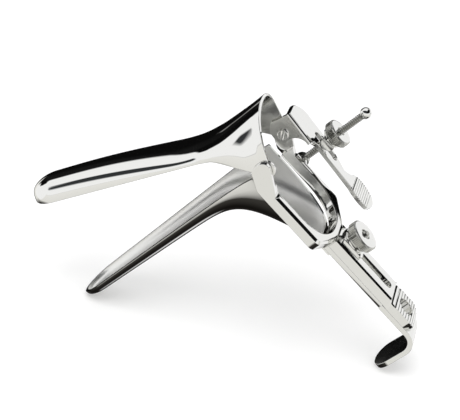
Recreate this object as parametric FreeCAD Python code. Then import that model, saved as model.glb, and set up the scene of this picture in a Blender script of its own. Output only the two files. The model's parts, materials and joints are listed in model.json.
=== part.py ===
import FreeCAD, Part
import math
import os

os.makedirs("parts", exist_ok=True)

V = FreeCAD.Vector

# Bivalve speculum, narrow-bladed pattern, polished stainless steel. All lengths are in mm, angles in degrees.
# The pieces are shaped in the instrument's own frame: the pivot line of the upper blade is the Y axis,
# +X runs forward along the lower blade, +Z points from the handle up to the upper blade and +Y to the
# left arm. The whole assembly is then tipped by stand_tilt about Y so that it stands on the lower blade's
# tip and the finger hook.
stand_tilt = 51.3333
blade_open = 20.5
sheet = 1.1
yoke_half = 17.8
yoke_wall = 3.7
cheek_wall = 1.9
ear_gap = 0.4
past = 60.0

# lower blade
low_tip = 96.5
low_mouth_x = 7.1
low_mouth_half = yoke_half - yoke_wall - 0.5
low_mouth_depth = 34.6
low_tip_half = 7.6
low_blade_depth = 6.6
low_tip_depth = 3.6
low_bend_length = 9.0
low_bend_power = 1.5
low_round = 9.0

# upper blade, in its own closed position
up_tip = 92.5
up_rim_z = 7.0
up_ear_half = yoke_half - cheek_wall - ear_gap
up_mid_half = 11.2
up_tip_half = 8.6
up_arch_x = 24.0
up_arch_top = 19.8
up_neck_top = 10.4
up_crown = 7.2
up_round = 9.5
up_ear_drop = 2.0
up_mouth_lean = 1.4
up_mouth_x = -1.6
ear_skin = 0.1
ear_in = up_ear_half - sheet - ear_skin
ear_out = up_ear_half + ear_skin
ear_r = 3.2

# yoke
pivot_x = 0.0
cheek_foot_z = -6.2
cheek_top_z = 3.6
cheek_bend_z = -8.5
cheek_lean_z = -3.5
arm_rear = 2.8
arm_front = 7.0
cheek_rear_x = -2.6
cheek_front_x = 3.4
shoulder_z = -29.6
neck_z = -37.6
window_turn_z = -20.0
window_foot_z = -35.0

# stem and front bar
stud_z = -43.4
stem_half = 6.15
stem_depth = 4.2
stem_rear = arm_rear
tongue_half = 5.25
tongue_foot_z = stud_z + 3.0
stem_front = stem_rear + stem_depth
bar_gap = 0.04
bar_thick = 1.9
bar_rear = stem_front + bar_gap
bar_front = bar_rear + bar_thick
slot_half = 1.85
slot_top_z = stud_z + 2.0
slot_foot_z = -64.9
pad_top_z = -66.6
pad_foot_z = -82.4
pad_half = 6.6
pad_step = 0.9
pad_hole_z = -74.3
pad_hole_r = 3.35
pad_ribs = 9

# finger hook
hook_half = 6.6
hook_bend_r = 6.5
hook_bend_z = -80.7
hook_rise = 2.0
hook_lip = 14.0

# clamp
stud_r = 1.65
stud_end_x = -4.9
clamp_nut_r = 5.9
clamp_nut_thick = 3.3
clamp_collar_r = 4.3
clamp_collar_len = 1.2
ring_thick = 0.7
ring_gap = 0.03
washer_thick = 1.3
thread_play = 0.05
sliding_play = 0.05

# pivots
pivot_r = 1.5
pivot_head_r = 2.1
pivot_head_len = 0.9
pin_cover = 0.35

# thumb lever
lever_thick = 1.5
lever_x = -6.9
lever_lean = 4.6
lever_near = up_ear_half + 0.4
lever_far = yoke_half + 8.2
lever_top_z = 4.6
lever_foot_z = -43.0
lever_slot_half = 1.6
lever_slot_top_z = -8.6
lever_slot_foot_z = -21.0
lever_waist_z = -26.0
lever_waist_far = lever_far - 4.6
lever_pad_z = -31.0
lever_ribs = 9

# adjusting screw
rod_r = 1.3
rod_z = -13.7
rod_y = -yoke_half - 3.5
rod_pin_x = 5.4
rod_eye_r = 2.6
rod_eye_half = 1.4
ball_r = 2.1
ball_x = -25.1
ball_play = 0.06
adjust_nut_r = 5.2
adjust_nut_thick = 3.3
adjust_collar_r = 3.6
adjust_collar_len = 0.8
saddle_half = 4.1
saddle_r = 2.6
saddle_back = 0.4
saddle_play = 0.19


def box(x0, x1, y0, y1, z0, z1):
    return Part.makeBox(x1 - x0, y1 - y0, z1 - z0, V(x0, y0, z0))


def rod_x(r, x0, x1, y, z):
    return Part.makeCylinder(r, x1 - x0, V(x0, y, z), V(1, 0, 0))


def rod_y_axis(r, y0, y1, x, z):
    return Part.makeCylinder(r, y1 - y0, V(x, y0, z), V(0, 1, 0))


def chamfer_circles(shape, size, pick):
    edges = [e for e in shape.Edges if e.Curve.TypeId == "Part::GeomCircle" and pick(e)]
    return shape.makeChamfer(size, edges) if edges else shape


def soften(shape, size, pick):
    edges = [e for e in shape.Edges if pick(e)]
    return shape.makeFillet(size, edges) if edges else shape


def bow_point(x, half, rim, crest, power, t):
    # Point t of a superellipse bow that runs from rim to rim over the crest, t from 0 to 1.
    c = math.cos(math.pi * t)
    h = math.sin(math.pi * t)
    y = half * math.copysign(abs(c) ** (2.0 / power), c)
    return V(x, y, rim + (crest - rim) * h ** (2.0 / power))


def bow_edge(half, rim, crest, power):
    # closed outline in the YZ plane: the bow and the straight line between its ends
    curve = Part.BSplineCurve()
    curve.interpolate([bow_point(0, half, rim, crest, power, i / 10.0) for i in range(11)])
    return Part.Wire([curve.toShape(), Part.makeLine(V(0, -half, rim), V(0, half, rim))])


def bow_row(x, half, rim, crest, power, lean):
    # points at even distances along the bow at one station; lean moves them along X
    fine = []
    for k in range(161):
        t = k / 160.0
        fine.append(bow_point(x + lean(x, t), half(x), rim(x), crest(x), power(x), t))
    run = [0.0]
    for p, q in zip(fine, fine[1:]):
        run.append(run[-1] + (q - p).Length)
    row = [fine[0]]
    k = 0
    steps = 12
    for j in range(1, steps):
        want = run[-1] * j / steps
        while run[k + 1] < want:
            k += 1
        part = (want - run[k]) / (run[k + 1] - run[k])
        row.append(fine[k] + (fine[k + 1] - fine[k]) * part)
    row.append(fine[-1])
    return row


def skin(stations, half, rim, crest, power, lean):
    surface = Part.BSplineSurface()
    surface.interpolate([bow_row(x, half, rim, crest, power, lean) for x in stations])
    return surface


def upright(x, t):
    return 0.0


def sheet_between(outer, inner):
    # Closes the gap between two skins: ruled strips join their mouths and rims, flat faces close their tips.
    u0, u1, v0, v1 = outer.bounds()
    a0, a1, b0, b1 = inner.bounds()
    faces = [outer.toShape(), inner.toShape()]
    pairs = [(outer.uIso(u0), inner.uIso(a0)), (outer.vIso(v0), inner.vIso(b0)),
             (outer.vIso(v1), inner.vIso(b1))]
    for one, other in pairs:
        faces.append(Part.makeRuledSurface(one.toShape(), other.toShape()))
    ends = []
    for surface, end, left, right in ((outer, u1, v0, v1), (inner, a1, b0, b1)):
        line = Part.makeLine(surface.value(end, left), surface.value(end, right))
        faces.append(Part.Face(Part.Wire([surface.uIso(end).toShape(), line])))
        ends.append(line)
    faces.append(Part.makeRuledSurface(ends[0], ends[1]))
    shell = Part.makeShell(faces)
    shell.sewShape()
    solid = Part.makeSolid(shell)
    if solid.Volume < 0:
        solid.reverse()
    return solid


def tip_shrink(x, start, end):
    if x <= start:
        return 1.0
    return math.sqrt(max(0.0, 1.0 - ((x - start) / (end - start)) ** 2))


def low_half(x):
    run = (x - low_mouth_x) / (low_tip - low_mouth_x)
    width = low_mouth_half + 0.3 - (low_mouth_half + 0.3 - low_tip_half) * max(0.0, run) ** 0.9
    return width * tip_shrink(x, low_tip - low_round, low_tip)


def low_rim(x):
    return 1.0 - math.exp(-max(0.0, x - low_mouth_x) / 6.0)


def low_foot(x):
    run = (x - low_mouth_x) / (low_tip - low_mouth_x)
    shallow = low_blade_depth - (low_blade_depth - low_tip_depth) * run
    bend = math.exp(-(max(0.0, x - low_mouth_x) / low_bend_length) ** low_bend_power)
    deep = shallow + (low_mouth_depth - shallow) * bend
    return low_rim(x) - deep * (0.45 + 0.55 * tip_shrink(x, low_tip - low_round, low_tip))


def low_power(x):
    return 2.25 + 0.65 * math.exp(-max(0.0, x - low_mouth_x) / 12.0)


def lower_blade():
    stations = [low_mouth_x, 10.0, 13.0, 16.0, 20.0, 25.0, 31.0, 38.0, 48.0, 62.0, 76.0, 88.0]
    tips = [low_tip - low_round * f for f in (0.55, 0.28, 0.1, 0.01)]
    outer = skin(stations + tips, low_half, low_rim, low_foot, low_power, upright)

    def in_half(x):
        return max(0.5, low_half(x) - sheet)

    def in_foot(x):
        back = x - 0.1 if x > low_mouth_x + 0.1 else x
        slope = min(2.6, abs(low_foot(x + 0.1) - low_foot(back)) / (x + 0.1 - back))
        return min(low_foot(x) + sheet * math.sqrt(1 + slope * slope), low_rim(x) - 0.5)

    inner_tips = [low_tip - low_round * f for f in (0.58, 0.35, 0.2)]
    inner = skin(stations + inner_tips, in_half, low_rim, in_foot, low_power, upright)
    shell = sheet_between(outer, inner)
    # tongue that lies on the front face of the handle bar
    tongue = box(bar_front, bar_front + sheet, -tongue_half, tongue_half, tongue_foot_z, -26.0)
    core = skin(stations + tips, lambda x: 0.2, low_rim, lambda x: low_rim(x) - 0.2, low_power, upright)
    bore = sheet_between(outer, core)
    tongue = tongue.cut(bore)
    tongue = min(tongue.Solids, key=lambda solid: solid.BoundBox.ZMin)
    return shell.fuse(tongue).removeSplitter()


def handle_bar():
    # side outline: straight bar, a tight bend forward and a lip that rises a little to its end
    cx = bar_rear + hook_bend_r
    cz = hook_bend_z
    rise = math.radians(hook_rise)
    turn = math.radians(270) + rise

    def spot(r, a):
        return V(cx + r * math.cos(a), 0, cz + r * math.sin(a))

    def along(p, d):
        return p + V(d * math.cos(rise), 0, d * math.sin(rise))

    r_in = hook_bend_r - bar_thick
    half_way = 0.5 * (math.pi + turn)
    top_z = -low_mouth_depth - 0.25
    out_end = spot(hook_bend_r, turn)
    in_end = spot(r_in, turn)
    side = Part.Wire([
        Part.makeLine(V(bar_rear, 0, top_z), V(bar_rear, 0, cz)),
        Part.Arc(V(bar_rear, 0, cz), spot(hook_bend_r, half_way), out_end).toShape(),
        Part.makeLine(out_end, along(out_end, hook_lip)),
        Part.makeLine(along(out_end, hook_lip), along(in_end, hook_lip)),
        Part.makeLine(along(in_end, hook_lip), in_end),
        Part.Arc(in_end, spot(r_in, half_way), V(bar_front, 0, cz)).toShape(),
        Part.makeLine(V(bar_front, 0, cz), V(bar_front, 0, top_z)),
        Part.makeLine(V(bar_front, 0, top_z), V(bar_rear, 0, top_z)),
    ])
    bar = Part.Face(side).extrude(V(0, 2 * hook_half, 0))
    bar.translate(V(0, -hook_half, 0))
    # the straight bar is as wide as the stem, the hook a little wider
    for s in (1, -1):
        lo = min(s * stem_half, s * (hook_half + 1))
        trim = box(0, bar_front + 1, lo, lo + hook_half + 1 - stem_half, pad_top_z, top_z + 1)
        bar = bar.cut(trim)
    # rounded end of the lip
    tip = along(out_end, hook_lip)
    corner = lambda e: (e.CenterOfMass - tip).Length < hook_half + 1 and e.BoundBox.YLength < 0.01 and e.Length < bar_thick + 0.1
    bar = soften(bar, hook_half - 0.3, lambda e: corner(e) and abs(abs(e.CenterOfMass.y) - hook_half) < 0.01)
    bar = bar.cut(rod_x(stud_r + sliding_play, bar_rear - 1, bar_front + 1, 0, stud_z))
    return bar.removeSplitter()


def clamp_stud():
    stud = rod_x(stud_r, stud_end_x, bar_front + 0.7, 0, stud_z)
    return chamfer_circles(stud, 0.35, lambda e: True)


def clamp_washer():
    x1 = stem_rear - 0.02
    plate = box(x1 - washer_thick, x1, -4.6, 4.6, stud_z - 5.2, stud_z + 4.4)
    plate = soften(plate, 1.2, lambda e: e.BoundBox.XLength > washer_thick - 0.05)
    return plate.cut(rod_x(stud_r + thread_play, x1 - 3, x1 + 1, 0, stud_z))


def knob(r, thick, collar_r, collar_len, bore):
    # Nut with its knurled face at x = 0, its collar runs to x = thick + collar_len.
    body = rod_x(r, 0, thick, 0, 0)
    body = chamfer_circles(body, 0.45, lambda e: True)
    collar = rod_x(collar_r, thick - 0.1, thick + collar_len, 0, 0)
    nut = body.fuse(collar)
    return nut.cut(rod_x(bore, -1, thick + collar_len + 1, 0, 0))


def flat_ring(outer, bore, x, y, z):
    ring = rod_x(outer, x - ring_thick, x, y, z)
    ring = chamfer_circles(ring, 0.15, lambda e: True)
    return ring.cut(rod_x(bore, x - ring_thick - 1, x + 1, y, z))


clamp_seat_x = stem_rear - 0.02 - washer_thick - ring_gap
saddle_axis_x = lever_x - (rod_z - lever_top_z) * math.tan(math.radians(lever_lean)) - saddle_play
saddle_axis_x -= saddle_r / math.cos(math.radians(lever_lean))
stop_seat_x = saddle_axis_x - saddle_back - ring_gap


def clamp_ring():
    return flat_ring(clamp_collar_r + 0.3, stud_r + thread_play, clamp_seat_x, 0, stud_z)


def stop_ring():
    return flat_ring(adjust_collar_r + 0.3, rod_r + thread_play, stop_seat_x, rod_y, rod_z)


def clamp_nut():
    nut = knob(clamp_nut_r, clamp_nut_thick, clamp_collar_r, clamp_collar_len, stud_r + thread_play)
    nut.translate(V(clamp_seat_x - ring_thick - ring_gap - clamp_nut_thick - clamp_collar_len, 0, stud_z))
    return nut


def yoke():
    # outer outline in the YZ plane, straight arms, rounded shoulders that run into the stem
    outer = []
    for s in (1, -1):
        corner = V(0, s * yoke_half, shoulder_z)
        knee = V(0, s * (yoke_half - 1.5), shoulder_z - 2.6)
        low = V(0, s * (stem_half + 3.25), neck_z + 1.7)
        foot = V(0, s * stem_half, neck_z)
        outer.append((V(0, s * yoke_half, cheek_top_z), corner, knee, low, foot))
    a, b = outer
    edges = [
        Part.makeLine(a[0], a[1]),
        Part.Arc(a[1], V(0, yoke_half - 0.45, shoulder_z - 1.5), a[2]).toShape(),
        Part.makeLine(a[2], a[3]),
        Part.makeLine(a[3], a[4]),
        Part.makeLine(a[4], b[4]),
        Part.makeLine(b[4], b[3]),
        Part.makeLine(b[3], b[2]),
        Part.Arc(b[2], V(0, -yoke_half + 0.45, shoulder_z - 1.5), b[1]).toShape(),
        Part.makeLine(b[1], b[0]),
        Part.makeLine(b[0], a[0]),
    ]
    slab = Part.Face(Part.Wire(edges)).extrude(V(past, 0, 0))
    slab.translate(V(-0.5 * past, 0, 0))
    # window: straight sides and a half-elliptic foot
    inner = yoke_half - yoke_wall
    disc = Part.Face(bow_edge(inner, window_turn_z, window_foot_z, 2.2))
    hole = disc.extrude(V(past, 0, 0))
    hole.translate(V(-0.5 * past, 0, 0))
    hole = hole.fuse(box(-past, past, -inner, inner, window_turn_z, past))
    cheek = box(-past, past, -yoke_half + cheek_wall, yoke_half - cheek_wall, cheek_foot_z, past)
    frame = slab.cut(hole).cut(cheek)
    # side outline: straight below, leaning back at the top, rounded over the pivot
    top_r = 2.6
    side = [V(arm_rear, 0, neck_z - 1), V(arm_rear, 0, cheek_bend_z), V(cheek_rear_x, 0, 0.2),
            V(cheek_rear_x, 0, cheek_top_z), V(cheek_front_x, 0, cheek_top_z), V(arm_front, 0, cheek_lean_z),
            V(arm_front, 0, shoulder_z), V(stem_front, 0, shoulder_z - 4.5), V(stem_front, 0, neck_z - 1)]
    prof = Part.Face(Part.makePolygon(side + [side[0]])).extrude(V(0, past, 0))
    prof.translate(V(0, -0.5 * past, 0))
    across = lambda e: e.BoundBox.YLength > 0.9 * past
    soft = [e for e in prof.Edges if across(e) and e.CenterOfMass.z > cheek_top_z - 0.1]
    prof = prof.makeFillet(top_r, soft)
    low, high = cheek_bend_z - 0.1, cheek_top_z - top_r - 0.1
    bend = [e for e in prof.Edges if across(e) and low < e.CenterOfMass.z < high]
    prof = prof.makeFillet(2.2, bend)
    frame = frame.common(prof)
    for s in (1, -1):
        y0 = yoke_half - cheek_wall - 1
        y1 = yoke_half - pin_cover
        hole = rod_y_axis(pivot_r, min(s * y0, s * y1), max(s * y0, s * y1), pivot_x, 0)
        frame = frame.cut(hole)
    # seat of the swivel pin on the right arm
    frame = frame.cut(rod_y_axis(pivot_r, -yoke_half - 1, -yoke_half + 3.0, rod_pin_x, rod_z))
    return frame.removeSplitter()


def yoke_stem():
    x0 = stem_rear
    x1 = stem_front
    pad_x = stem_rear + pad_step
    side = Part.Wire([
        Part.makeLine(V(x1, 0, neck_z), V(x0, 0, neck_z)),
        Part.makeLine(V(x0, 0, neck_z), V(x0, 0, pad_top_z)),
        Part.makeLine(V(x0, 0, pad_top_z), V(pad_x, 0, pad_top_z - 1.2)),
        Part.makeLine(V(pad_x, 0, pad_top_z - 1.2), V(pad_x, 0, pad_foot_z + 7)),
        Part.Arc(V(pad_x, 0, pad_foot_z + 7), V(pad_x + 0.9, 0, pad_foot_z + 2.6), V(x1 - 0.3, 0, pad_foot_z)).toShape(),
        Part.makeLine(V(x1 - 0.3, 0, pad_foot_z), V(x1, 0, pad_foot_z)),
        Part.makeLine(V(x1, 0, pad_foot_z), V(x1, 0, neck_z)),
    ])
    body = Part.Face(side).extrude(V(0, 2 * pad_half, 0))
    body.translate(V(0, -pad_half, 0))
    # front outline: straight bar that flares to the pad with a round foot
    r = pad_half
    front = Part.Wire([
        Part.makeLine(V(0, -stem_half, neck_z), V(0, stem_half, neck_z)),
        Part.makeLine(V(0, stem_half, neck_z), V(0, stem_half, pad_top_z)),
        Part.makeLine(V(0, stem_half, pad_top_z), V(0, pad_half, pad_top_z - 2)),
        Part.makeLine(V(0, pad_half, pad_top_z - 2), V(0, r, pad_foot_z + 5.0)),
        Part.Arc(V(0, r, pad_foot_z + 5.0), V(0, 0, pad_foot_z), V(0, -r, pad_foot_z + 5.0)).toShape(),
        Part.makeLine(V(0, -r, pad_foot_z + 5.0), V(0, -pad_half, pad_top_z - 2)),
        Part.makeLine(V(0, -pad_half, pad_top_z - 2), V(0, -stem_half, pad_top_z)),
        Part.makeLine(V(0, -stem_half, pad_top_z), V(0, -stem_half, neck_z)),
    ])
    plan = Part.Face(front).extrude(V(past, 0, 0))
    plan.translate(V(-0.5 * past, 0, 0))
    stem = body.common(plan)
    # long bevels on the rear edges
    long_rear = lambda e: e.BoundBox.ZLength > neck_z - pad_top_z - 1 and e.CenterOfMass.x < stem_rear + 0.1
    edges = [e for e in stem.Edges if long_rear(e) and abs(e.CenterOfMass.y) > 0.8 * stem_half]
    stem = stem.makeChamfer(0.7, edges)
    slot = box(-past, past, -slot_half, slot_half, slot_foot_z + slot_half, slot_top_z - slot_half)
    for z in (slot_foot_z + slot_half, slot_top_z - slot_half):
        slot = slot.fuse(rod_x(slot_half, -past, past, 0, z))
    stem = stem.cut(slot)
    stem = stem.cut(rod_x(pad_hole_r, -past, past, 0, pad_hole_z))
    # cross grooves of the thumb pad
    pitch = (pad_top_z - 2.6 - pad_foot_z - 1.6) / pad_ribs
    for i in range(pad_ribs):
        z = pad_top_z - 2.6 - pitch * (i + 0.5)
        drop = 0.0
        if z < pad_foot_z + 7:
            drop = (pad_foot_z + 7 - z) ** 2 * 0.045
        x = pad_x + drop
        groove = Part.makePolygon([V(x - 0.6, 0, z + 0.62), V(x + 0.32, 0, z), V(x - 0.6, 0, z - 0.62), V(x - 0.6, 0, z + 0.62)])
        cut = Part.Face(groove).extrude(V(0, past, 0))
        cut.translate(V(0, -0.5 * past, 0))
        stem = stem.cut(cut)
    return stem.removeSplitter()


def pivot_screw(sign):
    # Shank through cheek and ear, low domed head with a slot on the inside of the ear.
    inner = ear_in - 0.14
    if sign < 0:
        inner = ear_in - 0.04 - lever_thick - 0.04
    y_out = yoke_half - pin_cover - 0.05
    shank = rod_y_axis(pivot_r - 0.03, inner, y_out, pivot_x, 0)
    head = rod_y_axis(pivot_head_r, inner - pivot_head_len, inner, pivot_x, 0)
    head = soften(head, 0.4, lambda e: e.Curve.TypeId == "Part::GeomCircle" and e.CenterOfMass.y < inner - 0.5)
    slot = box(-3, 3, inner - pivot_head_len - 0.1, inner - pivot_head_len + 0.45, -0.3, 0.3)
    slot.rotate(V(0, 0, 0), V(0, 1, 0), 35)
    screw = shank.fuse(head).cut(slot)
    if sign < 0:
        screw = screw.mirror(V(0, 0, 0), V(0, 1, 0))
    return screw


def up_half(x):
    if x < 6.0:
        return up_ear_half
    if x < 26.0:
        t = (x - 6.0) / 20.0
        return up_ear_half + (up_mid_half - up_ear_half) * t * t * (3 - 2 * t)
    run = (x - 26.0) / (up_tip - 26.0)
    width = up_mid_half + (up_tip_half - up_mid_half) * run
    return width * tip_shrink(x, up_tip - up_round, up_tip)


def up_rim(x):
    if x > 19.0:
        return up_rim_z
    t = min(1.0, (19.0 - x) / 18.0)
    return up_rim_z - (up_rim_z + up_ear_drop) * t ** 1.3


def up_top(x):
    if x < up_arch_x:
        t = (x + 1.0) / (up_arch_x + 1.0)
        return up_arch_top + (up_neck_top - up_arch_top) * (1.18 * t - 0.18 * t * t)
    t = (x - up_arch_x) / (up_tip - up_arch_x)
    top = up_neck_top + (up_rim_z + up_crown - up_neck_top) * math.sin(min(1.0, t / 0.72) * math.pi / 2)
    shrink = tip_shrink(x, up_tip - up_round, up_tip)
    return up_rim_z + (top - up_rim_z) * (0.3 + 0.7 * shrink)


def up_power(x):
    return 2.25


def up_lean(x, t):
    # The mouth leans back towards the crown of the arch, and this fades out along the neck.
    fade = max(0.0, 1.0 - (x - up_mouth_x) / 20.0)
    return -up_mouth_lean * math.sin(math.pi * t) ** 2 * fade


def upper_blade():
    stations = [up_mouth_x, 1.0, 5.0, 9.0, 13.0, 17.0, 21.0, 26.0, 34.0, 46.0, 60.0, 74.0, 83.0]
    tips = [up_tip - up_round * f for f in (0.55, 0.28, 0.1, 0.01)]
    outer = skin(stations + tips, up_half, up_rim, up_top, up_power, up_lean)

    def in_half(x):
        return max(0.5, up_half(x) - sheet)

    def in_top(x):
        slope = abs(up_top(x + 0.5) - up_top(x - 0.5))
        return max(up_top(x) - sheet * math.sqrt(1 + slope * slope), up_rim(x) + 0.5)

    inner_tips = [up_tip - up_round * f for f in (0.58, 0.35, 0.2)]
    inner = skin(stations + inner_tips, in_half, up_rim, in_top, up_power, up_lean)
    shell = sheet_between(outer, inner)
    # ears: round lobes around the pivot
    for s in (1, -1):
        lo = min(s * ear_in, s * ear_out)
        lobe = rod_y_axis(ear_r, lo, lo + ear_out - ear_in, pivot_x, 0)
        shell = shell.fuse(lobe)
    for s in (1, -1):
        lo = min(s * (up_ear_half - 4), s * (up_ear_half + 1))
        shell = shell.cut(rod_y_axis(pivot_r + sliding_play, lo, lo + 5, pivot_x, 0))
    shell = shell.removeSplitter()
    shell.rotate(V(0, 0, 0), V(0, 1, 0), -blade_open)
    return shell


def lever_face_x(z):
    return lever_x - (z - lever_top_z) * math.tan(math.radians(lever_lean))


def thumb_lever(blade):
    # Ear plate on the inside of the blade's right ear.
    y1 = -ear_in + 0.04
    y2 = y1 + lever_thick
    foot = lever_face_x(cheek_bend_z)
    ear = Part.Wire([
        Part.makeLine(V(lever_face_x(lever_top_z), 0, lever_top_z), V(0.6, 0, lever_top_z + 1.2)),
        Part.Arc(V(0.6, 0, lever_top_z + 1.2), V(3.6, 0, 1.6), V(1.5, 0, -3.0)).toShape(),
        Part.Arc(V(1.5, 0, -3.0), V(-3.4, 0, -4.6), V(foot + lever_thick, 0, cheek_bend_z)).toShape(),
        Part.makeLine(V(foot + lever_thick, 0, cheek_bend_z), V(foot, 0, cheek_bend_z)),
        Part.makeLine(V(foot, 0, cheek_bend_z), V(lever_face_x(lever_top_z), 0, lever_top_z)),
    ])
    plate = Part.Face(ear).extrude(V(0, lever_thick, 0))
    plate.translate(V(0, y1, 0))
    # The lever itself, drawn in the YZ plane and then leaned.
    near = -lever_near
    far = -lever_far
    waist = -lever_waist_far
    edge = near - 0.6
    ear_y = y2
    shoulder = V(0, far + 5.5, lever_top_z)
    side = V(0, far, lever_top_z - 9.1)
    hip = V(0, far, rod_z + 0.7)
    middle = V(0, waist, lever_waist_z)
    pad = V(0, far + 0.2, lever_pad_z)
    heel = V(0, far + 0.6, lever_foot_z + 1.5)
    toe = V(0, edge, lever_foot_z + 2.0)
    pad_near = V(0, edge, lever_pad_z)
    root = V(0, edge, rod_z - 0.3)
    joint = V(0, ear_y, cheek_bend_z)
    pts = Part.Wire([
        Part.makeLine(V(0, ear_y, lever_top_z), shoulder),
        Part.Arc(shoulder, V(0, far + 1.4, lever_top_z - 3.0), side).toShape(),
        Part.makeLine(side, hip),
        Part.Arc(hip, V(0, far + 1.8, rod_z - 5.7), middle).toShape(),
        Part.Arc(middle, V(0, waist - 2.0, lever_pad_z + 2.0), pad).toShape(),
        Part.Arc(pad, V(0, far - 1.1, lever_pad_z - 5.5), heel).toShape(),
        Part.Arc(heel, V(0, 0.5 * (near + far), lever_foot_z), toe).toShape(),
        Part.Arc(toe, V(0, near + 0.3, lever_pad_z - 5.5), pad_near).toShape(),
        Part.makeLine(pad_near, root),
        Part.Arc(root, V(0, near + 0.4, cheek_bend_z - 1.7), joint).toShape(),
        Part.makeLine(joint, V(0, ear_y, lever_top_z)),
    ])
    face = Part.Face(pts).extrude(V(lever_thick, 0, 0))
    slot = box(-past, past, rod_y - lever_slot_half, rod_y + lever_slot_half,
               lever_slot_foot_z + lever_slot_half, lever_slot_top_z - lever_slot_half)
    for z in (lever_slot_foot_z + lever_slot_half, lever_slot_top_z - lever_slot_half):
        slot = slot.fuse(rod_x(lever_slot_half, -past, past, rod_y, z))
    face = face.cut(slot)
    # cross grooves of the thumb rest
    pitch = (lever_pad_z - 1.0 - lever_foot_z - 2.0) / lever_ribs
    for i in range(lever_ribs):
        z = lever_pad_z - 1.0 - pitch * (i + 0.5)
        tri = Part.makePolygon([V(-0.5, 0, z + 0.5), V(0.35, 0, z), V(-0.5, 0, z - 0.5), V(-0.5, 0, z + 0.5)])
        cut = Part.Face(tri).extrude(V(0, past, 0))
        cut.translate(V(0, ear_y - past, 0))
        face = face.cut(cut)
    face.rotate(V(0, 0, lever_top_z), V(0, 1, 0), -lever_lean)
    face.translate(V(lever_x, 0, 0))
    lever = plate.fuse(face).removeSplitter()
    corner = lambda e: e.BoundBox.ZLength > 8 and abs(e.CenterOfMass.y - y2) < 0.1 and e.CenterOfMass.x < lever_x + 1.6
    lever = soften(lever, 1.0, lambda e: corner(e) and e.BoundBox.YLength < 0.1)
    # the ear plate follows the inside of the blade's side, to which it is brazed
    for step in (0.0, 0.04, 0.08):
        wall = blade.copy()
        wall.translate(V(0, step, 0))
        lever = lever.cut(wall)
    lever = max(lever.Solids, key=lambda solid: solid.Volume)
    return lever.cut(rod_y_axis(pivot_r + sliding_play, y1 - 1, y2 + 1, pivot_x, 0))


def swivel_pin():
    # Fixed in the right arm, its collar keeps the eye of the adjusting screw clear of the arm.
    eye_in = rod_y + rod_eye_half + 0.05
    eye_out = rod_y - rod_eye_half - 0.05
    pin = rod_y_axis(pivot_r, eye_out - 0.05, -yoke_half + 2.9, rod_pin_x, rod_z)
    collar = rod_y_axis(2.3, eye_in, -yoke_half, rod_pin_x, rod_z)
    head = rod_y_axis(2.2, eye_out - 1.0, eye_out, rod_pin_x, rod_z)
    head = soften(head, 0.45, lambda e: e.Curve.TypeId == "Part::GeomCircle" and e.CenterOfMass.y < eye_out - 0.8)
    return pin.fuse(collar).fuse(head).removeSplitter()


def adjusting_screw():
    eye = rod_y_axis(rod_eye_r, rod_y - rod_eye_half, rod_y + rod_eye_half, rod_pin_x, rod_z)
    shank = rod_x(rod_r, ball_x + 0.5, rod_pin_x - 1.2, rod_y, rod_z)
    screw = eye.fuse(shank)
    hole = rod_y_axis(pivot_r + sliding_play, rod_y - 3, rod_y + 3, rod_pin_x, rod_z)
    return screw.cut(hole).removeSplitter()


def stop_ball():
    bore = rod_r + ball_play
    seat = ball_x + 0.5 - ball_play
    mouth = ball_x + math.sqrt(ball_r ** 2 - bore ** 2)
    profile = Part.Wire([
        Part.Arc(V(ball_x - ball_r, 0, 0), V(ball_x, ball_r, 0), V(mouth, bore, 0)).toShape(),
        Part.makeLine(V(mouth, bore, 0), V(seat, bore, 0)),
        Part.makeLine(V(seat, bore, 0), V(seat, 0, 0)),
        Part.makeLine(V(seat, 0, 0), V(ball_x - ball_r, 0, 0)),
    ])
    ball = Part.Face(profile).revolve(V(0, 0, 0), V(1, 0, 0), 360)
    ball.translate(V(0, rod_y, rod_z))
    return ball


def lever_saddle():
    x = saddle_axis_x
    body = rod_y_axis(saddle_r, rod_y - saddle_half, rod_y + saddle_half, x, rod_z)
    body = body.common(box(x - saddle_back, x + past, rod_y - past, rod_y + past, rod_z - past, rod_z + past))
    return body.cut(rod_x(rod_r + thread_play, x - past, x + past, rod_y, rod_z))


def adjusting_nut():
    nut = knob(adjust_nut_r, adjust_nut_thick, adjust_collar_r, adjust_collar_len, rod_r + thread_play)
    nut.translate(V(stop_seat_x - ring_thick - ring_gap - adjust_nut_thick - adjust_collar_len, rod_y, rod_z))
    return nut


valve = upper_blade()
pieces = {
    "lower_blade": lower_blade(),
    "handle_bar": handle_bar(),
    "clamp_stud": clamp_stud(),
    "clamp_washer": clamp_washer(),
    "clamp_ring": clamp_ring(),
    "clamp_nut": clamp_nut(),
    "yoke": yoke(),
    "yoke_stem": yoke_stem(),
    "left_pivot_screw": pivot_screw(1),
    "right_pivot_screw": pivot_screw(-1),
    "upper_blade": valve,
    "thumb_lever": thumb_lever(valve),
    "swivel_pin": swivel_pin(),
    "adjusting_screw": adjusting_screw(),
    "stop_ball": stop_ball(),
    "lever_saddle": lever_saddle(),
    "stop_ring": stop_ring(),
    "adjusting_nut": adjusting_nut(),
}

for shape in pieces.values():
    shape.rotate(V(0, 0, 0), V(0, 1, 0), stand_tilt)
bounds = [shape.optimalBoundingBox(True, False) for shape in pieces.values()]
shift = V(-0.5 * (min(b.XMin for b in bounds) + max(b.XMax for b in bounds)),
          -0.5 * (min(b.YMin for b in bounds) + max(b.YMax for b in bounds)),
          -min(b.ZMin for b in bounds))
print("shift", round(shift.x, 4), round(shift.y, 4), round(shift.z, 4))
for name, shape in pieces.items():
    shape.translate(shift)
    print(name, len(shape.Solids), shape.isValid(), round(shape.Volume, 1), round(shape.BoundBox.ZMin, 3))
    shape.exportStep("parts/" + name + ".step")
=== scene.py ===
import json
import math

import bmesh
import bpy
from mathutils import Matrix, Vector


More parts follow.
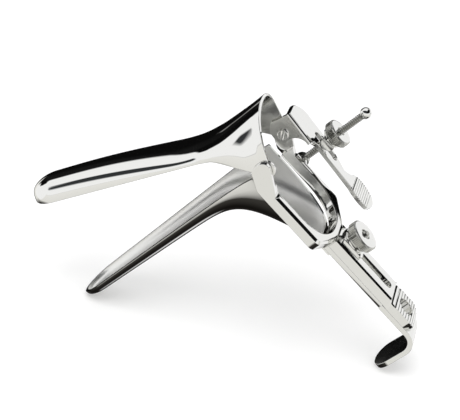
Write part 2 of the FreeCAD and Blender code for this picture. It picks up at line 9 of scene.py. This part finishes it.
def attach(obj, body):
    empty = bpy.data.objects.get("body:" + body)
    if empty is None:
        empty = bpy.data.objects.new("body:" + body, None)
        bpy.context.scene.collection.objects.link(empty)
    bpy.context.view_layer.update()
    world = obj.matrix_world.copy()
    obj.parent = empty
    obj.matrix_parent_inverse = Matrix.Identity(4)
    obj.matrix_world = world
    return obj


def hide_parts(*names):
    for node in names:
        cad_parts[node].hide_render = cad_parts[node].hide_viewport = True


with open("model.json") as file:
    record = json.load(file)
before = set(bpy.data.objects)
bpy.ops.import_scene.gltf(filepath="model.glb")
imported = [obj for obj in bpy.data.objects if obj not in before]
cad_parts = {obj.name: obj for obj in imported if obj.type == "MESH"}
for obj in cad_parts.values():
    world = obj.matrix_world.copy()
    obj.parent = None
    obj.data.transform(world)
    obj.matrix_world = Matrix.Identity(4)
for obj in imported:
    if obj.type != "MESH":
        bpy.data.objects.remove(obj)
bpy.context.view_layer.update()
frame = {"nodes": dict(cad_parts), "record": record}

# Bivalve speculum in polished stainless steel. Shapes are drawn in millimetres in the instrument's own
# frame (pivot line on Y, +X along the lower blade, +Z up the handle) and then set on the table.
mm = 0.001
stand = {"tilt": 51.3333, "shift": (-11.7387, 4.6582, 75.8474)}
toTable = (Matrix.Translation(Vector(stand["shift"]) * mm)
           @ Matrix.Rotation(math.radians(stand["tilt"]), 4, "Y") @ Matrix.Scale(mm, 4))
bodyOf = {node: body for body, nodes in frame["record"]["behaviour"]["bodies"].items() for node in nodes}


# Colours and nodes
def hexColour(text):
    # sRGB hex to Blender's linear colour
    parts = [int(text[i:i + 2], 16) / 255 for i in (0, 2, 4)]
    return tuple(p / 12.92 if p <= 0.04045 else ((p + 0.055) / 1.055) ** 2.4 for p in parts) + (1.0,)


def addNode(tree, kind, settings):
    # A setting is one of the node's properties or inputs; an input that gets another node's output is linked.
    node = tree.nodes.new(kind)
    for key, value in settings.items():
        if isinstance(value, bpy.types.NodeSocket):
            tree.links.new(value, node.inputs[key])
        elif isinstance(key, str) and hasattr(node, key):
            setattr(node, key, value)
        else:
            node.inputs[key].default_value = value
    return node


def steel(name, colour, rough, grain, brush, wave):
    # grain: size of the cloudy roughness; brush: spacing of the fine lines; wave: their height; all in mm
    material = bpy.data.materials.new(name)
    material.use_nodes = True
    tree = material.node_tree
    shader = tree.nodes["Principled BSDF"]
    shader.inputs["Base Color"].default_value = hexColour(colour)
    shader.inputs["Metallic"].default_value = 1.0
    place = addNode(tree, "ShaderNodeTexCoord", {}).outputs["Object"]
    cloud = addNode(tree, "ShaderNodeTexNoise", {"Scale": 1 / (grain * mm), "Detail": 3.0, "Vector": place})
    spread = addNode(tree, "ShaderNodeMapRange", {"From Min": 0.3, "From Max": 0.7, "To Min": rough[0],
                                                  "To Max": rough[1], "Value": cloud.outputs["Fac"]})
    tree.links.new(spread.outputs["Result"], shader.inputs["Roughness"])
    stretch = addNode(tree, "ShaderNodeMapping", {"Scale": [1 / step for step in brush], "Vector": place})
    lines = addNode(tree, "ShaderNodeTexNoise", {"Scale": 1 / mm, "Detail": 2.0,
                                                 "Vector": stretch.outputs["Vector"]})
    bump = addNode(tree, "ShaderNodeBump", {"Strength": 1.0, "Distance": wave * mm,
                                            "Height": lines.outputs["Fac"]})
    tree.links.new(bump.outputs["Normal"], shader.inputs["Normal"])
    return material


# Mirror-polished stainless sheet: clear reflections with the slight ripple of a buffing wheel.
mirrorSteel = steel("mirrorPolishedStainlessSheet", "EDEDEB", rough=(0.02, 0.05), grain=14.0,
                    brush=(9.0, 9.0, 9.0), wave=0.004)
# Mirror-polished bar stock: flatter than the sheet, so its reflections stay straighter.
barSteel = steel("mirrorPolishedStainlessBar", "EAEAE8", rough=(0.03, 0.07), grain=9.0,
                 brush=(7.0, 7.0, 7.0), wave=0.002)
# Satin-brushed sheet, inside the upper blade and on the ear plate: fine lines that blur what they reflect.
# Real ones are finer than the render shows, so they are drawn coarser.
satinSteel = steel("satinBrushedStainlessSheet", "D6D6D3", rough=(0.17, 0.2), grain=9.0,
                   brush=(0.5, 1.5, 6.0), wave=0.0001)
# Satin sheet inside the lower blade, rougher so that it spreads the light widely and stays pale: its colour
# is painted lighter than the other satin sheet's, a painted highlight for the light the blade's inside
# catches.
paintedLightSatinSteel = steel("roughSatinSheetPaintedLight", "FAFAF8", rough=(0.38, 0.44), grain=9.0,
                       brush=(0.5, 1.5, 6.0), wave=0.0001)
# Turned and knurled rims: dull, so that the teeth show as light and dark lines.
knurledSteel = steel("turnedKnurledStainless", "C8C8C4", rough=(0.12, 0.2), grain=2.0,
                     brush=(1.0, 1.0, 1.0), wave=0.002)
# Cut thread: bright flanks, a little dull from oil.
threadSteel = steel("cutThreadStainless", "B4B4B0", rough=(0.14, 0.2), grain=2.0,
                    brush=(1.0, 1.0, 1.0), wave=0.002)
print("materials made")


# Helpers for pieces
def finishPiece(name, bm, materials, nodes, smoothAngle, bevel=0.0, segments=2):
    # Sets a bmesh drawn in mm on the table and lets it stand for its CAD nodes; bevel is in mm.
    bmesh.ops.transform(bm, matrix=toTable, verts=bm.verts)
    mesh = bpy.data.meshes.new(name)
    bm.to_mesh(mesh)
    bm.free()
    for poly in mesh.polygons:
        poly.use_smooth = True
    mesh.set_sharp_from_angle(angle=math.radians(smoothAngle))
    for material in materials:
        mesh.materials.append(material)
    piece = bpy.data.objects.new(name, mesh)
    bpy.context.collection.objects.link(piece)
    if bevel:
        edge = piece.modifiers.new("edgeBreak", "BEVEL")
        edge.width = bevel * mm
        edge.segments = segments
        edge.limit_method = "ANGLE"
        edge.angle_limit = math.radians(30)
        edge.harden_normals = True
    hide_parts(*nodes)
    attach(piece, bodyOf[nodes[0]])


def alongX(x, y=0.0, z=0.0):
    # Turns a circle or cone, which Blender makes along Z, to lie along X at a place.
    return Matrix.Translation((x, y, z)) @ Matrix.Rotation(math.pi / 2, 4, "Y")


def alongY(x, y=0.0, z=0.0):
    # The same for a piece that lies across the instrument.
    return Matrix.Translation((x, y, z)) @ Matrix.Rotation(math.pi / 2, 4, "X")


def roundBar(bm, radius, length, place, segments):
    made = bmesh.ops.create_cone(bm, cap_ends=True, segments=segments, radius1=radius, radius2=radius,
                                 depth=length, matrix=place)
    return made["verts"]


# Pressed blades: how their edges are smoothed and broken
bladeEdges = {"smoothAngle": 40, "bevel": 0.22, "segments": 3}


def tipShrink(shape, x):
    # 1 along the blade, falling in a quarter ellipse to 0 over its rounded tip
    start = shape["tip"] - shape["round"]
    if x <= start:
        return 1.0
    return math.sqrt(max(0.0, 1.0 - ((x - start) / (shape["tip"] - start)) ** 2))


def pressedBlade(shape, half, rim, crest, power, lean, finish):
    # A flat grid is bent along its length into the blade's outer skin and given the sheet's thickness inward.
    bm = bmesh.new()
    bmesh.ops.create_grid(bm, x_segments=shape["along"], y_segments=shape["around"], size=0.5)
    tip, start, mouth = shape["tip"], shape["tip"] - shape["round"], shape["mouthX"]
    tipShare = shape["tipShare"]
    for v in bm.verts:
        run, t = v.co.x + 0.5, v.co.y + 0.5
        if run < tipShare:
            x = mouth + (start - mouth) * (run / tipShare) ** shape["crowd"]
        else:
            x = start + (tip - start) * math.sin(0.5 * math.pi * (run - tipShare) / (1 - tipShare))
        across, over = math.cos(math.pi * t), math.sin(math.pi * t)
        y = half(x) * math.copysign(abs(across) ** (2 / power(x)), across)
        z = rim(x) + (crest(x) - rim(x)) * max(0.0, over) ** (2 / power(x))
        v.co = (x + lean(x, t), y, z)
    bmesh.ops.remove_doubles(bm, verts=bm.verts, dist=0.0005)
    bmesh.ops.recalc_face_normals(bm, faces=bm.faces)
    # the face in the middle of the blade's back tells whether the skin points outward
    probe = Vector((40, 0, crest(40)))
    middle = min(bm.faces, key=lambda f: (f.calc_center_median() - probe).length)
    if middle.normal.z * (probe.z - rim(probe.x)) < 0:
        bmesh.ops.reverse_faces(bm, faces=bm.faces)
    outside = set(bm.verts)
    bmesh.ops.solidify(bm, geom=list(bm.faces), thickness=shape["sheet"])
    for face in bm.faces:
        # the outer skin and the rims take the first material, the inside the second
        face.material_index = 0 if any(v in outside for v in face.verts) else 1
    finish(bm)
    return bm


# Lower blade: shallow trough whose base sweeps down into the deep oval mouth
lower = {"tip": 96.5, "mouthX": 7.1, "mouthHalf": 13.9, "mouthDepth": 34.6, "tipHalf": 7.6, "taper": 0.9,
         "depth": 6.6, "tipDepth": 3.6, "tipKeep": 0.45, "bendLength": 9.0, "bendPower": 1.5,
         "rimRise": 1.0, "rimLength": 6.0, "power": 2.25, "mouthPower": 0.65, "powerLength": 12.0,
         "round": 9.0, "sheet": 1.1, "along": 110, "around": 64, "tipShare": 0.82, "crowd": 1.7}
# tongue brazed to the handle bar
tongue = {"front": 10.04, "thick": 1.1, "half": 5.25, "top": -31.0, "foot": -40.4}


def pastMouth(x):
    return max(0.0, x - lower["mouthX"])


def lowerHalf(x):
    run = pastMouth(x) / (lower["tip"] - lower["mouthX"])
    width = lower["mouthHalf"] - (lower["mouthHalf"] - lower["tipHalf"]) * run ** lower["taper"]
    return width * tipShrink(lower, x)


def lowerRim(x):
    return lower["rimRise"] * (1.0 - math.exp(-pastMouth(x) / lower["rimLength"]))


def lowerCrest(x):
    run = (x - lower["mouthX"]) / (lower["tip"] - lower["mouthX"])
    shallow = lower["depth"] - (lower["depth"] - lower["tipDepth"]) * run
    bend = math.exp(-(pastMouth(x) / lower["bendLength"]) ** lower["bendPower"])
    deep = shallow + (lower["mouthDepth"] - shallow) * bend
    return lowerRim(x) - deep * (lower["tipKeep"] + (1 - lower["tipKeep"]) * tipShrink(lower, x))


def lowerPower(x):
    # the bow is squarer at the mouth
    return lower["power"] + lower["mouthPower"] * math.exp(-pastMouth(x) / lower["powerLength"])


def lowerFinish(bm):
    for v in bm.verts:
        # the rim of the mouth lies flat against the sliding frame
        v.co.x = max(v.co.x, lower["mouthX"])
    size = (tongue["thick"], 2 * tongue["half"], tongue["top"] - tongue["foot"], 1)
    place = (tongue["front"] - 0.5 * tongue["thick"], 0, 0.5 * (tongue["top"] + tongue["foot"]))
    bmesh.ops.create_cube(bm, size=1.0, matrix=Matrix.Translation(place) @ Matrix.Diagonal(size))


lowerMesh = pressedBlade(lower, lowerHalf, lowerRim, lowerCrest, lowerPower, lambda x, t: 0.0, lowerFinish)
# the lower blade's inside takes the satin whose colour is painted lighter, a painted highlight
finishPiece("lowerBlade", lowerMesh, [mirrorSteel, paintedLightSatinSteel], ["lower_blade"], **bladeEdges)
print("lower blade pressed")

# Upper blade: arched spoon whose base rises into a high mouth with an ear on each side
upper = {"tip": 92.5, "mouthX": -1.6, "rim": 7.0, "earHalf": 15.5, "earEnd": 6.0, "midHalf": 11.2,
         "midX": 26.0, "tipHalf": 8.6, "archStart": -1.0, "archX": 24.0, "archTop": 19.8, "archBow": 0.18,
         "neckTop": 10.4, "crown": 7.2, "crownShare": 0.72, "tipKeep": 0.3, "blend": 9.0, "blendIn": 12.0,
         "rimDrop": 19.0, "dropLength": 18.0, "dropPower": 1.3, "earDrop": 2.0, "lean": 1.4,
         "leanLength": 20.0, "open": 20.5, "power": 2.25, "round": 9.5, "sheet": 1.1, "along": 110,
         "around": 64, "tipShare": 0.82, "crowd": 1.4}
ear = {"radius": 3.2, "stand": 0.2, "segments": 48}


def upperHalf(x):
    if x < upper["earEnd"]:
        return upper["earHalf"]
    if x < upper["midX"]:
        t = (x - upper["earEnd"]) / (upper["midX"] - upper["earEnd"])
        return upper["earHalf"] + (upper["midHalf"] - upper["earHalf"]) * t * t * (3 - 2 * t)
    run = (x - upper["midX"]) / (upper["tip"] - upper["midX"])
    return (upper["midHalf"] + (upper["tipHalf"] - upper["midHalf"]) * run) * tipShrink(upper, x)


def upperRim(x):
    t = min(1.0, max(0.0, upper["rimDrop"] - x) / upper["dropLength"])
    return upper["rim"] - (upper["rim"] + upper["earDrop"]) * t ** upper["dropPower"]


def upperProfile(x):
    # the top line: a bowed fall from the arch to the neck, then a rise to the spoon's crown
    if x < upper["archX"]:
        t = (x - upper["archStart"]) / (upper["archX"] - upper["archStart"])
        fall = (1 + upper["archBow"]) * t - upper["archBow"] * t * t
        return upper["archTop"] + (upper["neckTop"] - upper["archTop"]) * fall
    t = (x - upper["archX"]) / (upper["tip"] - upper["archX"])
    rise = math.sin(min(1.0, t / upper["crownShare"]) * math.pi / 2)
    return upper["neckTop"] + (upper["rim"] + upper["crown"] - upper["neckTop"]) * rise


def upperCrest(x):
    # the bend at the neck is blended over a few millimetres
    reach = upper["blend"] * min(1.0, max(0.0, (x - upper["archStart"]) / upper["blendIn"]))
    top = sum(upperProfile(x + reach * k / 4) for k in range(-4, 5)) / 9
    keep = upper["tipKeep"] + (1 - upper["tipKeep"]) * tipShrink(upper, x)
    return upper["rim"] + (top - upper["rim"]) * keep


def upperLean(x, t):
    # the top of the mouth leans back over the ears
    fade = max(0.0, 1.0 - (x - upper["mouthX"]) / upper["leanLength"])
    return -upper["lean"] * math.sin(math.pi * t) ** 2 * fade


def upperFinish(bm):
    for side in (1, -1):
        place = alongY(0, side * (upper["earHalf"] - 0.5 * upper["sheet"]))
        roundBar(bm, ear["radius"], upper["sheet"] + ear["stand"], place, ear["segments"])
    swing = Matrix.Rotation(-math.radians(upper["open"]), 3, "Y")
    bmesh.ops.rotate(bm, verts=bm.verts, cent=(0, 0, 0), matrix=swing)


upperMesh = pressedBlade(upper, upperHalf, upperRim, upperCrest, lambda x: upper["power"], upperLean,
                         upperFinish)
finishPiece("upperBlade", upperMesh, [mirrorSteel, satinSteel], ["upper_blade"], **bladeEdges)
print("upper blade pressed")


# Nuts: straight-knurled rims with a plain collar
def ringRows(bm, rows, segments, tooth):
    # Extrudes a ring along X through rows of (radius, x, knurled); tooth is how deep every third line is cut.
    radius, x, knurled = rows[0]
    ring = bmesh.ops.create_circle(bm, segments=segments, radius=radius, matrix=alongX(x))["verts"]
    edges = [e for e in bm.edges if e.verts[0] in ring and e.verts[1] in ring]
    bmesh.ops.contextual_create(bm, geom=edges)
    for radius, x, knurled in rows[1:]:
        grown = bmesh.ops.extrude_edge_only(bm, edges=edges)["geom"]
        edges = [e for e in grown if isinstance(e, bmesh.types.BMEdge)]
        for v in [v for v in grown if isinstance(v, bmesh.types.BMVert)]:
            turn = math.atan2(v.co.z, v.co.y)
            cut = tooth if knurled and round(turn / (2 * math.pi) * segments) % 3 == 0 else 0.0
            v.co = (x, (radius - cut) * math.cos(turn), (radius - cut) * math.sin(turn))
    bmesh.ops.contextual_create(bm, geom=edges)
    bmesh.ops.recalc_face_normals(bm, faces=bm.faces)


clampNut = {"node": "clamp_nut", "radius": 5.9, "thick": 3.3, "collar": 4.3, "collarLength": 1.2,
            "bore": 1.7, "teeth": 60, "tooth": 0.3, "place": (-3.78, 0, -43.4)}
stopNut = {"node": "adjusting_nut", "radius": 5.2, "thick": 3.3, "collar": 3.6, "collarLength": 0.8,
           "bore": 1.35, "teeth": 54, "tooth": 0.3, "place": (-13.486, -21.3, -13.7)}
# small cuts that both nuts share: at the bore, on the face, at the rim and on the collar
nutCuts = {"boreDeep": 0.5, "boreLead": 0.35, "crownShare": 0.55, "crownRise": 0.06, "faceEdge": 0.62,
           "rimIn": 0.45, "rimFront": 0.08, "rimLong": 0.5, "rimBack": 0.05, "fillet": 0.25, "end": 0.15}


def knurledNut(name, nut):
    bm = bmesh.new()
    r, thick, collar, bore, cut = nut["radius"], nut["thick"], nut["collar"], nut["bore"], nutCuts
    end = thick + nut["collarLength"]
    rows = [(bore, cut["boreDeep"], False), (bore + cut["boreLead"], 0.0, False),
            (cut["crownShare"] * r, -cut["crownRise"], False), (r - cut["faceEdge"], 0.0, False),
            (r - cut["rimIn"], cut["rimFront"], False), (r, cut["rimLong"], True),
            (r, thick - cut["rimLong"], True), (r - cut["rimIn"], thick - cut["rimBack"], False),
            (collar + cut["fillet"], thick, False), (collar, thick + cut["fillet"], False),
            (collar, end - cut["end"], False), (collar - cut["end"], end, False)]
    ringRows(bm, rows, 3 * nut["teeth"], nut["tooth"])
    bmesh.ops.translate(bm, verts=bm.verts, vec=nut["place"])
    for face in bm.faces:
        # the flat faces are polished
        face.material_index = 1 if abs(face.normal.x) > 0.9 else 0
    finishPiece(name, bm, [knurledSteel, barSteel], [nut["node"]], 28)


knurledNut("clampNut", clampNut)
knurledNut("stopNut", stopNut)
print("nuts turned")

# Screws with cut threads
stopRod = {"node": "adjusting_screw", "radius": 1.3, "root": 0.85, "pitch": 0.8, "from": -24.2, "to": 2.2,
           "tipStand": 0.35, "tipGrow": 0.1, "neckGrow": 0.15, "neckEnd": 3.6, "overlap": 1.0,
           "eye": 2.6, "eyeWide": 2.8, "eyeX": 5.4, "eyeSegments": 48, "place": (0, -21.3, -13.7)}
clampStud = {"node": "clamp_stud", "radius": 1.65, "root": 1.15, "pitch": 0.8, "from": -4.5, "to": 2.7,
             "tip": -4.9, "tipCut": 0.15, "tipShare": 0.75, "overlap": 1.0, "shankStart": 2.4,
             "front": 9.64, "place": (0, 0, -43.4)}
# steps in one turn, where the tooth's flat top starts and ends along the pitch, and sides of a plain rod
threadCut = {"steps": 20, "top": (0.42, 0.58), "sides": 32}


def cutThread(bm, rod):
    # One tooth of the thread is spun and carried along X, then the joins between turns are merged.
    turns, steps = round((rod["to"] - rod["from"]) / rod["pitch"]), threadCut["steps"]
    rise, fall = threadCut["top"]
    profile = [(0.0, rod["root"]), (rise, rod["radius"]), (fall, rod["radius"]), (1.0, rod["root"])]
    verts = [bm.verts.new((rod["from"] + part * rod["pitch"], radius, 0)) for part, radius in profile]
    edges = [bm.edges.new(pair) for pair in zip(verts, verts[1:])]
    bmesh.ops.spin(bm, geom=verts + edges, cent=(0, 0, 0), axis=(1, 0, 0), dvec=(rod["pitch"] / steps, 0, 0),
                   angle=2 * math.pi * turns, steps=steps * turns, use_merge=False)
    bmesh.ops.remove_doubles(bm, verts=bm.verts, dist=0.002)
    bmesh.ops.holes_fill(bm, edges=bm.edges, sides=0)
    bmesh.ops.recalc_face_normals(bm, faces=bm.faces)


def plainRod(bm, radius, fromX, toX):
    return roundBar(bm, radius, toX - fromX, alongX(0.5 * (fromX + toX)), threadCut["sides"])


def threadedPiece(name, rod, ends):
    bm = bmesh.new()
    cutThread(bm, rod)
    ends(bm, rod)
    bmesh.ops.translate(bm, verts=bm.verts, vec=rod["place"])
    finishPiece(name, bm, [threadSteel], [rod["node"]], 40)


def stopRodEnds(bm, rod):
    plainRod(bm, rod["root"] + rod["tipGrow"], rod["from"] - rod["tipStand"], rod["from"] + rod["overlap"])
    plainRod(bm, rod["root"] + rod["neckGrow"], rod["to"] - rod["overlap"], rod["neckEnd"])
    roundBar(bm, rod["eye"], rod["eyeWide"], alongY(rod["eyeX"]), rod["eyeSegments"])


def clampStudEnds(bm, rod):
    for v in plainRod(bm, rod["root"], rod["tip"], rod["from"] + rod["overlap"]):
        if v.co.x < rod["tip"] + 0.01:
            v.co = (v.co.x + rod["tipCut"], rod["tipShare"] * v.co.y, rod["tipShare"] * v.co.z)
    plainRod(bm, rod["radius"], rod["shankStart"], rod["front"])


threadedPiece("stopRod", stopRod, stopRodEnds)
threadedPiece("clampStud", clampStud, clampStudEnds)
print("threads cut")

# Plain pieces keep their solid's shape, with the edges broken so that polished steel catches the light along
# them. Each has its material, its edge break and the width of the chamfer round its rear face, both in mm.
dressed = {"yoke": (barSteel, 0.12, 0.9), "yoke_stem": (barSteel, 0.1, 0.4),
           "handle_bar": (barSteel, 0.25, 0), "thumb_lever": (barSteel, 0.1, 0.45),
           "clamp_washer": (barSteel, 0.15, 0), "clamp_ring": (barSteel, 0.0, 0),
           "stop_ring": (barSteel, 0.0, 0), "lever_saddle": (barSteel, 0.2, 0),
           "stop_ball": (mirrorSteel, 0.0, 0), "swivel_pin": (barSteel, 0.0, 0),
           "left_pivot_screw": (barSteel, 0.0, 0), "right_pivot_screw": (barSteel, 0.0, 0)}
# which faces count as the rear, and the share of the chamfer on edges inside the yoke's opening and the slot
rearChamfer = {"facing": -0.9, "area": 20, "innerShare": 0.3, "innerRise": 0.3, "insideY": 12}
# the ear plate, in front of the thumb lever, is satin on both sides
earPlate = {"node": "thumb_lever", "facing": 0.9, "fromX": -11}


def chamferRear(bm, width):
    # The rear faces are inset, and their old border is moved forward to make the chamfer.
    rear = rearChamfer
    faces = [f for f in bm.faces if f.normal.x < rear["facing"] and f.calc_area() > rear["area"]]
    cut = {}
    for v in {v for f in faces for v in f.verts}:
        side = sum((f.normal for f in v.link_faces if f not in faces), Vector())
        inner = side.y * v.co.y < -0.01 or (side.z > rear["innerRise"] and abs(v.co.y) < rear["insideY"])
        cut[v.co.to_tuple(3)] = rear["innerShare"] * width if inner else width
    rim = bmesh.ops.inset_region(bm, faces=faces, thickness=width, depth=0.0, use_even_offset=True,
                                 use_boundary=True)["faces"]
    for v in {v for f in rim for v in f.verts}:
        v.co.x += cut.get(v.co.to_tuple(3), 0.0)


def dressNode(node, material, bevel, rear):
    bm = bmesh.new()
    bm.from_mesh(frame["nodes"][node].data)
    bmesh.ops.transform(bm, matrix=toTable.inverted(), verts=bm.verts)
    bmesh.ops.remove_doubles(bm, verts=bm.verts, dist=0.002)
    bmesh.ops.dissolve_limit(bm, angle_limit=math.radians(0.5), verts=bm.verts, edges=bm.edges)
    for face in bm.faces:
        sideways = abs(face.normal.y) > earPlate["facing"]
        if node == earPlate["node"] and sideways and face.calc_center_median().x > earPlate["fromX"]:
            face.material_index = 1
    if rear:
        chamferRear(bm, rear)
    first, *words = node.split("_")
    name = first + "".join(word.title() for word in words) + "Dressed"
    finishPiece(name, bm, [material, satinSteel], [node], 32, bevel)


for node, (material, bevel, rear) in dressed.items():
    dressNode(node, material, bevel, rear)
print("plain pieces dressed")

# Floor: a white sheet that keeps the shadow and is left out of the metal's reflections. The camera sees it
# a little lighter, so that it meets the white around it.
sweep = {"size": 3.0, "colour": "F4F4F4", "rough": 0.9, "lift": 0.1}
floorMesh = bpy.data.meshes.new("floor")
bm = bmesh.new()
bmesh.ops.create_grid(bm, x_segments=1, y_segments=1, size=sweep["size"])
bm.to_mesh(floorMesh)
bm.free()
floor = bpy.data.objects.new("floor", floorMesh)
bpy.context.collection.objects.link(floor)
floor.visible_glossy = False
# White paper sweep: matt, with no sheen of its own.
floorPaint = bpy.data.materials.new("whitePaperSweep")
floorPaint.use_nodes = True
paper = floorPaint.node_tree
paperInputs = paper.nodes["Principled BSDF"].inputs
paperInputs["Base Color"].default_value = hexColour(sweep["colour"])
paperInputs["Roughness"].default_value = sweep["rough"]
paperInputs["Emission Color"].default_value = (1, 1, 1, 1)
paperRays = addNode(paper, "ShaderNodeLightPath", {})
paperLift = addNode(paper, "ShaderNodeMath", {"operation": "MULTIPLY", 0: paperRays.outputs["Is Camera Ray"],
                                              1: sweep["lift"]})
paper.links.new(paperLift.outputs[0], paperInputs["Emission Strength"])
floorMesh.materials.append(floorPaint)

# World: white for the camera, a light tent with black flags for the metal, plain light for everything else.
# The tent's wall goes round the blades' length, from the back horizon at 0 over the top at 0.5 to the front
# horizon at 1. Its floor goes from the horizon at 0 straight down at 1, and darkens straight down as a
# painted shadow of the instrument on the floor, which the metal mirrors.
tent = {"wall": [(0.0, "141414"), (0.2, "1A1A1A"), (0.235, "FFFFFF"), (0.57, "FFFFFF"), (0.60, "303234"),
                 (0.875, "3A3C3E"), (0.905, "FFFFFF"), (1.0, "FFFFFF")],
        # the floor's dark end, straight down, is a painted shadow of the instrument
        "floor": [(0.0, "F4F3EF"), (0.6, "ECEBE6"), (0.72, "3A3835"), (1.0, "141210")],
        "card": "FFFFFF", "flag": "0C0C0C", "plain": "FAFAFA"}
world = bpy.data.worlds.new("studio")
bpy.context.scene.world = world
world.use_nodes = True
tree = world.node_tree
background = tree.nodes["Background"]
rays = addNode(tree, "ShaderNodeLightPath", {})
sky = addNode(tree, "ShaderNodeTexCoord", {})
split = addNode(tree, "ShaderNodeSeparateXYZ", {"Vector": sky.outputs["Generated"]})
axes = {"x": split.outputs["X"], "y": split.outputs["Y"], "z": split.outputs["Z"]}
for name, axis in (("away", "y"), ("down", "z")):
    axes[name] = addNode(tree, "ShaderNodeMath", {"operation": "MULTIPLY", 0: axes[axis], 1: -1.0}).outputs[0]
roundAngle = addNode(tree, "ShaderNodeMath", {"operation": "ARCTAN2", 0: axes["z"], 1: axes["away"]})
roundShare = addNode(tree, "ShaderNodeMath", {"operation": "DIVIDE", 0: roundAngle.outputs[0], 1: math.pi})
painted = {}
for part, source in (("wall", roundShare.outputs[0]), ("floor", axes["down"])):
    ramp = addNode(tree, "ShaderNodeValToRGB", {"Fac": source})
    points = ramp.color_ramp.elements
    for at, tone in tent[part][1:-1]:
        points.new(at)
    for point, (at, tone) in zip(sorted(points, key=lambda p: p.position), tent[part]):
        point.color = hexColour(tone)
    painted[part] = ramp.outputs["Color"]
card, flag = hexColour(tent["card"]), hexColour(tent["flag"])
# What stands in the tent, laid over its wall in this order: a colour, then the axes of the direction that
# bound it, each with the values where it fades in. +Y is the near side and "away" the far one.
tentPieces = [
    (painted["floor"], ("down", -0.02, 0.03), ("y", -0.2, 0.0)),  # floor on the near side
    (painted["floor"], ("down", 0.05, 0.1), ("away", 0.0, 0.2)),  # floor on the far side
    (card, ("y", 0.0, 0.1), ("z", 0.4, 0.33), ("z", -0.05, 0.05)),  # low card along the near side
    (card, ("y", 0.0, 0.1), ("x", 0.86, 0.89)),  # end card beyond the tips, near half
    (flag, ("x", -0.25, -0.4), ("z", 0.3, 0.4)),  # high flag at the handle's end
    (flag, ("x", -0.16, -0.06), ("x", 0.62, 0.56), ("away", 0.5, 0.65), ("z", 0.45, 0.4)),  # far flag
    (flag, ("x", 0.74, 0.78), ("away", 0.28, 0.34), ("z", 0.4, 0.36), ("z", 0.02, 0.08)),  # far corner flag
    (card, ("x", 0.85, 0.9), ("away", 0.3, 0.2)),  # end card, up to a little past the middle
    (card, ("x", 0.8, 0.84), ("z", 0.08, 0.04)),  # end card, foot
    (card, ("x", 0.92, 0.94)),  # end card, middle
    (card, ("x", -0.12, -0.24), ("away", 0.2, 0.4), ("z", 0.5, 0.42)),  # far card at the handle's end
]
tentColour = painted["wall"]
for colour, *fades in tentPieces:
    mask = 1.0
    for axis, start, end in fades:
        fade = addNode(tree, "ShaderNodeMapRange", {"From Min": start, "From Max": end, "Value": axes[axis]})
        times = addNode(tree, "ShaderNodeMath", {"operation": "MULTIPLY", 0: mask, 1: fade.outputs["Result"]})
        mask = times.outputs[0]
    laid = addNode(tree, "ShaderNodeMix", {"data_type": "RGBA", 0: mask, 6: tentColour, 7: colour})
    tentColour = laid.outputs[2]
mixed = addNode(tree, "ShaderNodeMix", {"data_type": "RGBA", 0: rays.outputs["Is Glossy Ray"],
                                        6: hexColour(tent["plain"]), 7: tentColour})
seen = addNode(tree, "ShaderNodeMix", {"data_type": "RGBA", 0: rays.outputs["Is Camera Ray"],
                                       6: mixed.outputs[2], 7: (1, 1, 1, 1)})
tree.links.new(seen.outputs[2], background.inputs["Color"])
background.inputs["Strength"].default_value = 1.0

# Camera: its axes in the instrument's own frame, its distance in metres, and where the photograph has the
# pivot, in pixels
photo = {"width": 460, "height": 420}
camera = {"right": (-0.7217, -0.2033, -0.6617), "up": (-0.538, -0.4367, 0.721),
          "back": (-0.4355, 0.8763, 0.2058), "distance": 0.541, "focalPixels": 1570.5,
          "pivotAt": (275.6, 150.2), "sensor": 36.0}
turn = Matrix.Rotation(math.radians(stand["tilt"]), 3, "Y")
right, up, back = [(turn @ Vector(camera[k])).normalized() for k in ("right", "up", "back")]
eye = toTable @ Vector((0, 0, 0)) + back * camera["distance"]
cameraData = bpy.data.cameras.new("camera")
cameraData.sensor_width = camera["sensor"]
cameraData.lens = camera["sensor"] * camera["focalPixels"] / photo["width"]
# the camera is turned a little so that the pivot falls where the photograph has it
dx = (camera["pivotAt"][0] - photo["width"] / 2) / camera["focalPixels"]
dy = (photo["height"] / 2 - camera["pivotAt"][1]) / camera["focalPixels"]
basis = (Matrix((right, up, back)).transposed() @ Matrix.Rotation(math.atan(dx), 3, "Y")
         @ Matrix.Rotation(-math.atan(dy), 3, "X"))
cameraObject = bpy.data.objects.new("camera", cameraData)
cameraObject.matrix_world = Matrix.Translation(eye) @ basis.to_4x4()
bpy.context.collection.objects.link(cameraObject)
bpy.context.scene.camera = cameraObject
bpy.context.scene.view_settings.view_transform = "Standard"

# Soft light from above, which the metal doesn't mirror
softbox = {"watts": 3.0, "size": 0.6, "place": (0.1, 0.35, 0.9), "tilt": -22}
key = bpy.data.lights.new("softbox", "AREA")
key.energy = softbox["watts"]
key.size = softbox["size"]
keyObject = bpy.data.objects.new("softbox", key)
keyObject.matrix_world = (Matrix.Translation(softbox["place"])
                          @ Matrix.Rotation(math.radians(softbox["tilt"]), 4, "X"))
keyObject.visible_glossy = False
bpy.context.collection.objects.link(keyObject)
print("studio set")
